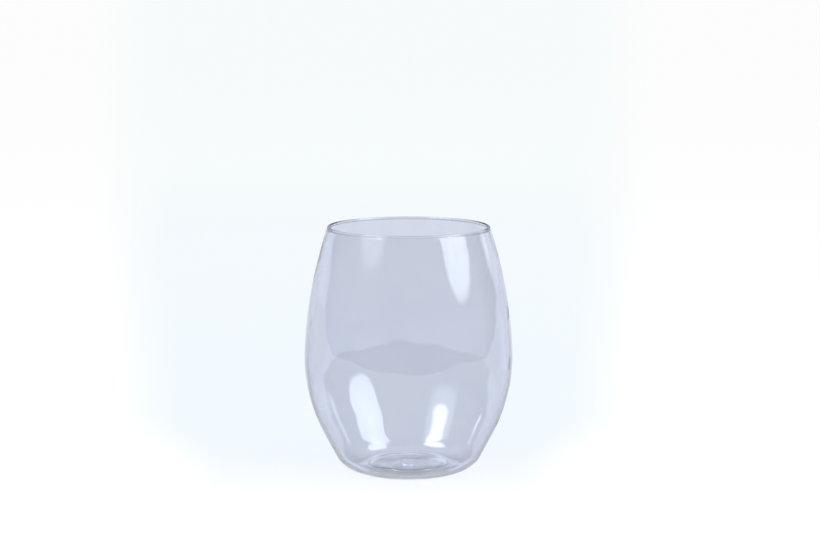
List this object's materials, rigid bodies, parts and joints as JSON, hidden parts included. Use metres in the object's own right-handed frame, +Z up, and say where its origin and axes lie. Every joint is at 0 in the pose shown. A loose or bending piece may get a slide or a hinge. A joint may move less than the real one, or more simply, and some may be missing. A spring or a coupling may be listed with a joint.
{
  "type": "plastic tumbler cup",
  "caption": "Clear plastic tumbler cup with a barrel-shaped body, a rounded lip and a recessed base, for cold drinks.",
  "frame": {"origin": "centre of the foot, on the surface that the cup stands on", "axes": "+Z up along the cup's axis, from the foot to the lip; X and Y are any two directions across it"},
  "size_m": [0.089, 0.089, 0.105],
  "materials": {
    "clear_plastic": "gloss"
  },
  "bodies": {
    "root": {"tumbler": "clear_plastic"}
  },
  "joints": []
}
